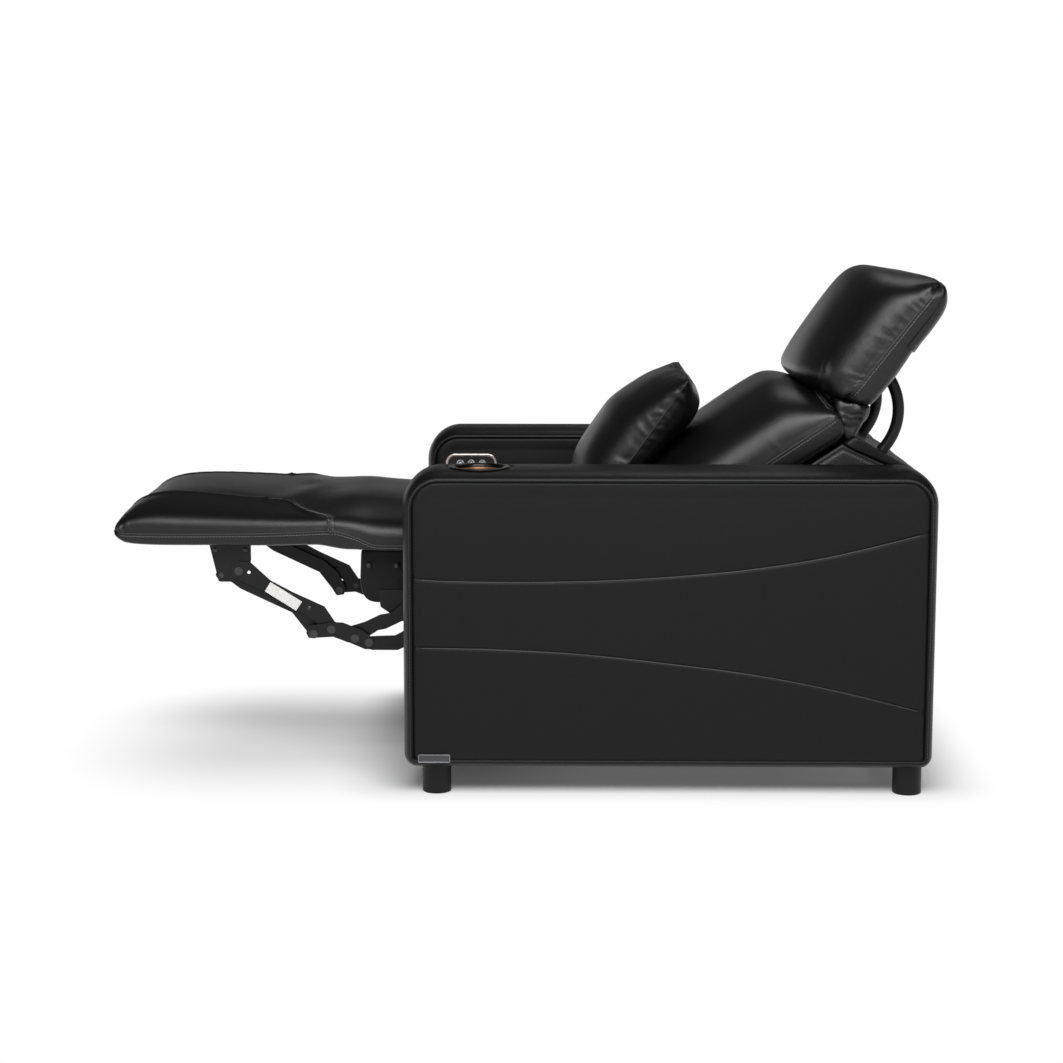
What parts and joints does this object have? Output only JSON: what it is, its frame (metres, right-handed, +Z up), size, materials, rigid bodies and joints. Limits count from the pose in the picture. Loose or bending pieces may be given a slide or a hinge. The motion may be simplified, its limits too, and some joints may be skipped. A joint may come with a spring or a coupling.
{
  "type": "cinema recliner seat",
  "caption": "Black leather power recliner seat with box arms, laid-back hinged back, tilting headrest, loose lumbar pillow and fold-out footrest on riveted links.",
  "frame": {"origin": "on the floor under the middle of the seat at rest", "axes": "+X to the back of the seat, +Y to the sitter's right, +Z up"},
  "size_m": [1.5776, 0.9216, 0.9518],
  "materials": {
    "leather_band": "satin",
    "leather_panel": "satin",
    "leather_cushion": "satin",
    "leather_trim": "satin",
    "pillow_leather": "satin",
    "frame_wood": "matte",
    "board_wood": "matte",
    "foot_plastic": "matte",
    "badge_metal": "brushed",
    "cup_metal": "brushed",
    "bezel_metal": "polished",
    "panel_plastic": "gloss",
    "button_metal": "polished",
    "housing_plastic": "matte",
    "black_steel": "satin",
    "link_steel": "satin",
    "rivet_steel": "satin",
    "spring_steel": "satin",
    "shoe_plastic": "matte",
    "label_paper": "matte",
    "motor_plastic": "matte"
  },
  "bodies": {
    "base": {"arm_frame_left": "frame_wood", "arm_frame_right": "frame_wood", "arm_band_left": "leather_band", "arm_band_right": "leather_band", "arm_outer_panel_left": "leather_panel", "arm_outer_panel_right": "leather_panel", "arm_inner_panel_left": "leather_panel", "arm_inner_panel_right": "leather_panel", "feet": "foot_plastic", "badge_plate": "badge_metal", "cup_holder": "cup_metal", "control_bezel": "bezel_metal", "control_face": "panel_plastic", "switch_housing": "housing_plastic", "base_rails": "black_steel", "glide_channels": "black_steel"},
    "carriage": {"glide_shoes": "shoe_plastic", "side_plates": "black_steel", "hanger_plates": "black_steel", "hanger_pins": "rivet_steel", "front_block": "leather_trim", "seat_front_rail": "black_steel", "seat_mid_rail": "black_steel", "carriage_cross_tube": "black_steel", "seat_springs": "spring_steel", "seat_cushion": "leather_cushion", "footrest_motor": "motor_plastic", "recline_motor": "motor_plastic"},
    "footrest": {"footrest_board": "board_wood", "footrest_pad": "leather_cushion", "footrest_brackets": "link_steel", "bracket_rivets": "rivet_steel"},
    "drive": {"drive_links": "link_steel", "footrest_drive_tube": "black_steel", "elbow_rivets": "rivet_steel"},
    "wide": {"wide_links": "link_steel", "brace_rivets": "rivet_steel", "link_label": "label_paper"},
    "slim": {"slim_links": "link_steel"},
    "brace": {"brace_links": "link_steel"},
    "back": {"recline_tube": "black_steel", "back_frame": "black_steel", "back_wing_left": "leather_trim", "back_wing_right": "leather_trim", "back_panel": "leather_trim", "back_top_cap": "leather_trim", "back_cushion": "leather_cushion", "bow_guides": "housing_plastic", "headrest_motor": "motor_plastic", "neck_gussets": "leather_trim"},
    "headrest": {"headrest_plate": "black_steel", "neck_rod": "rivet_steel", "headrest_bows": "black_steel", "headrest_cushion": "leather_cushion", "headrest_cover": "leather_trim"},
    "pillow": {"lumbar_pillow": "pillow_leather"},
    "footrest_button": {"button_footrest": "button_metal"},
    "recline_button": {"button_recline": "button_metal"},
    "headrest_button": {"button_headrest": "button_metal"}
  },
  "joints": [
    {"name": "seat_glide", "type": "slide", "parent": "base", "child": "carriage", "axis": [1, 0, 0], "range_m": [0, 0.15]},
    {"name": "back_recline", "type": "hinge", "parent": "carriage", "child": "back", "pos_m": [0.372, 0, 0.43], "axis": [0, -1, 0], "range_deg": [0, 45]},
    {"name": "headrest_tilt", "type": "hinge", "parent": "back", "child": "headrest", "pos_m": [0.59266, 0, 0.68211], "axis": [0, 1, 0], "range_deg": [0, 35]},
    {"name": "pillow_lean", "type": "hinge", "parent": "carriage", "child": "pillow", "pos_m": [0.13, 0, 0.506], "axis": [0, -1, 0], "range_deg": [0, 31]},
    {"name": "footrest_fold", "type": "hinge", "parent": "carriage", "child": "footrest", "pos_m": [-0.384, 0, 0.483], "axis": [0, -1, 0], "range_deg": [0, 90]},
    {"name": "drive_swing", "type": "hinge", "parent": "carriage", "child": "drive", "pos_m": [-0.209, 0, 0.372], "axis": [0, -1, 0], "range_deg": [0, 90]},
    {"name": "brace_swing", "type": "hinge", "parent": "carriage", "child": "brace", "pos_m": [-0.168, 0, 0.358], "axis": [0, -1, 0], "range_deg": [0, 90]},
    {"name": "wide_link_pivot", "type": "hinge", "parent": "drive", "child": "wide", "pos_m": [-0.376, 0, 0.272], "axis": [0, 1, 0], "range_deg": [0, 90]},
    {"name": "slim_link_pivot", "type": "hinge", "parent": "drive", "child": "slim", "pos_m": [-0.41, 0, 0.263], "axis": [0, 1, 0], "range_deg": [0, 90]},
    {"name": "footrest_button_press", "type": "slide", "parent": "base", "child": "footrest_button", "axis": [0, 1, 0], "range_m": [0, 0.0015], "stiffness_N_per_m": 400},
    {"name": "recline_button_press", "type": "slide", "parent": "base", "child": "recline_button", "axis": [0, 1, 0], "range_m": [0, 0.0015], "stiffness_N_per_m": 400},
    {"name": "headrest_button_press", "type": "slide", "parent": "base", "child": "headrest_button", "axis": [0, 1, 0], "range_m": [0, 0.0015], "stiffness_N_per_m": 400}
  ],
  "couplings": [
    {"joint": "seat_glide", "follows": "back_recline", "m_per_rad": 0.19097},
    {"joint": "pillow_lean", "follows": "back_recline", "ratio": 0.68},
    {"joint": "drive_swing", "follows": "footrest_fold", "ratio": 1},
    {"joint": "brace_swing", "follows": "footrest_fold", "ratio": 1},
    {"joint": "wide_link_pivot", "follows": "footrest_fold", "ratio": 1},
    {"joint": "slim_link_pivot", "follows": "footrest_fold", "ratio": 1}
  ]
}
